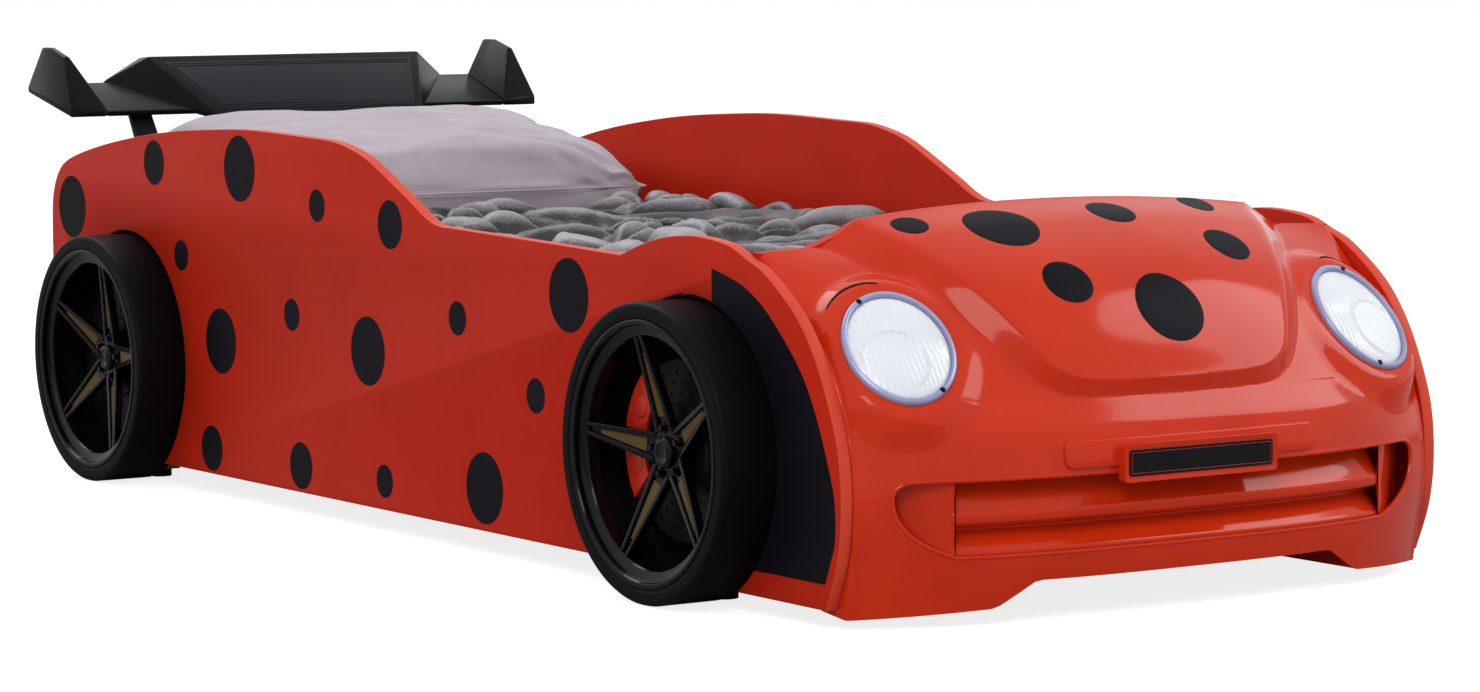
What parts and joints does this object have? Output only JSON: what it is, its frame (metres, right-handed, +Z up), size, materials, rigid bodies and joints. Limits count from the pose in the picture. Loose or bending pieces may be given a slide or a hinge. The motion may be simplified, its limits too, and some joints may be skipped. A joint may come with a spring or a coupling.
{
  "type": "car-shaped children's bed",
  "caption": "Child's bed shaped like a ladybug car: outline-cut sides with wheels, moulded bonnet front with headlights and grille, raised rear wing, slatted base, mattress, blanket and pillow.",
  "frame": {"origin": "on the floor under the middle of the bed's overall box", "axes": "+X to the driver's left, -Y ahead over the bonnet, +Y to the head end and rear wing, +Z up"},
  "size_m": [1.1168, 2.531, 0.6755],
  "materials": {
    "red_board": "satin red lacquer over board",
    "red_moulding": "high-gloss red moulded plastic",
    "black_film": "black satin film",
    "tyre_black": "black plastic with a rubber look",
    "wheel_black": "gloss black with bronze-coloured spoke inserts",
    "wheel_cup": "black satin plastic",
    "caliper_red": "gloss red plastic",
    "wing_black": "gloss black moulded plastic",
    "satin_black": "satin black",
    "lamp_chrome": "bright plated plastic",
    "lamp_lens": "clear fluted lens",
    "lamp_white": null,
    "plate_black": "plain satin black",
    "pine": "planed pine",
    "liner_black": "black melamine-faced board",
    "foot_black": "black rubber",
    "ticking": "off-white woven ticking over foam",
    "plush": "grey plush",
    "pillow_cotton": "lilac-grey cotton"
  },
  "bodies": {
    "frame": {"side_panel_left": "red_board", "side_panel_right": "red_board", "headboard": "red_board", "footboard": "red_board", "fender_film_left": "black_film", "fender_film_right": "black_film", "liner_board_left": "liner_black", "liner_board_right": "liner_black", "slat_cleat_left": "pine", "slat_cleat_right": "pine", "centre_beam": "pine", "slat_roll": "pine", "leg_rear_left": "pine", "leg_rear_right": "pine", "leg_front_left": "pine", "leg_front_right": "pine", "leg_middle": "pine", "glide_rear_left": "foot_black", "glide_rear_right": "foot_black", "glide_front_left": "foot_black", "glide_front_right": "foot_black", "glide_middle": "foot_black", "tyre_front_left": "tyre_black", "tyre_front_right": "tyre_black", "wheel_drum_front_left": "wheel_cup", "wheel_drum_front_right": "wheel_cup", "wheel_face_front_left": "wheel_black", "wheel_face_front_right": "wheel_black", "caliper_front_left": "caliper_red", "caliper_front_right": "caliper_red", "tyre_rear_left": "tyre_black", "tyre_rear_right": "tyre_black", "wheel_drum_rear_left": "wheel_cup", "wheel_drum_rear_right": "wheel_cup", "wheel_face_rear_left": "wheel_black", "wheel_face_rear_right": "wheel_black", "caliper_rear_left": "caliper_red", "caliper_rear_right": "caliper_red", "front_fascia": "red_moulding", "grille_insert": "red_moulding", "plate_holder": "red_moulding", "number_plate": "plate_black", "headlight_bezel_left": "lamp_chrome", "headlight_bezel_right": "lamp_chrome", "headlight_bowl_left": "lamp_chrome", "headlight_bowl_right": "lamp_chrome", "headlight_lens_left": "lamp_lens", "headlight_lens_right": "lamp_lens", "headlight_led_left": "lamp_white", "headlight_led_right": "lamp_white", "rear_wing": "wing_black", "wing_fin_left": "wing_black", "wing_fin_right": "wing_black", "wing_centre_panel": "satin_black", "wing_strut_left": "satin_black", "wing_strut_right": "satin_black"},
    "mattress": {"mattress": "ticking"},
    "blanket": {"blanket": "plush"},
    "pillow": {"pillow": "pillow_cotton"}
  },
  "joints": [
    {"name": "mattress_lift", "type": "slide", "parent": "frame", "child": "mattress", "axis": [0, 0, 1], "range_m": [0, 0.42]},
    {"name": "blanket_lift", "type": "slide", "parent": "mattress", "child": "blanket", "axis": [0, 0, 1], "range_m": [0, 0.3]},
    {"name": "pillow_lift", "type": "slide", "parent": "blanket", "child": "pillow", "axis": [0, 0, 1], "range_m": [0, 0.3]}
  ]
}
